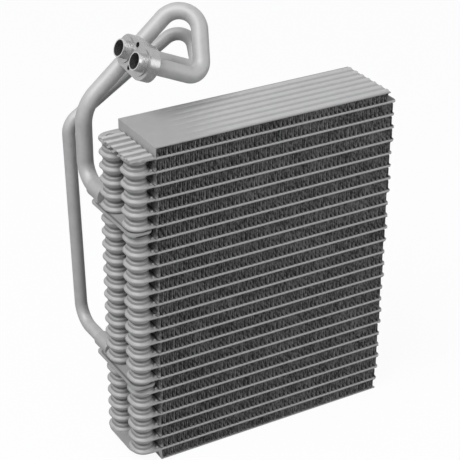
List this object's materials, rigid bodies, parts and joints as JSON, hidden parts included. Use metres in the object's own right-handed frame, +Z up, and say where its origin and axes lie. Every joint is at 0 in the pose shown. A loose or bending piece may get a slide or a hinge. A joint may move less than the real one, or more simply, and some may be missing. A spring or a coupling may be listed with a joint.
{
  "type": "evaporator",
  "caption": "Laminated plate-and-fin evaporator core with a stacked-cup tank at one end and two bent pipes joined in a two-port block.",
  "frame": {"origin": "under the middle of the fin block, on the crest of the base plate's middle bead", "axes": "+Z up through the stack of tubes, +X along the tubes away from the tank, air passes along Y, pipes leave towards +Y"},
  "size_m": [0.2284, 0.1175, 0.3356],
  "materials": {
    "tube": "dull brazed sheet",
    "fin": "dark coated sheet",
    "end_plate": "dull brazed sheet",
    "connection_plate": "dull brazed",
    "pipe": "satin drawn tube",
    "port_block": "machined"
  },
  "bodies": {
    "root": {"tube_01": "tube", "tube_02": "tube", "tube_03": "tube", "tube_04": "tube", "tube_05": "tube", "tube_06": "tube", "tube_07": "tube", "tube_08": "tube", "tube_09": "tube", "tube_10": "tube", "tube_11": "tube", "tube_12": "tube", "tube_13": "tube", "tube_14": "tube", "tube_15": "tube", "tube_16": "tube", "tube_17": "tube", "tube_18": "tube", "tube_19": "tube", "tube_20": "tube", "tube_21": "tube", "tube_22": "tube", "tube_23": "tube", "tube_24": "tube", "fin_01": "fin", "fin_02": "fin", "fin_03": "fin", "fin_04": "fin", "fin_05": "fin", "fin_06": "fin", "fin_07": "fin", "fin_08": "fin", "fin_09": "fin", "fin_10": "fin", "fin_11": "fin", "fin_12": "fin", "fin_13": "fin", "fin_14": "fin", "fin_15": "fin", "fin_16": "fin", "fin_17": "fin", "fin_18": "fin", "fin_19": "fin", "fin_20": "fin", "fin_21": "fin", "fin_22": "fin", "fin_23": "fin", "fin_24": "fin", "fin_25": "fin", "base_plate": "end_plate", "top_plate": "end_plate", "suction_connection_plate": "connection_plate", "liquid_connection_plate": "connection_plate", "suction_pipe": "pipe", "liquid_pipe": "pipe", "port_block": "port_block"}
  },
  "joints": []
}
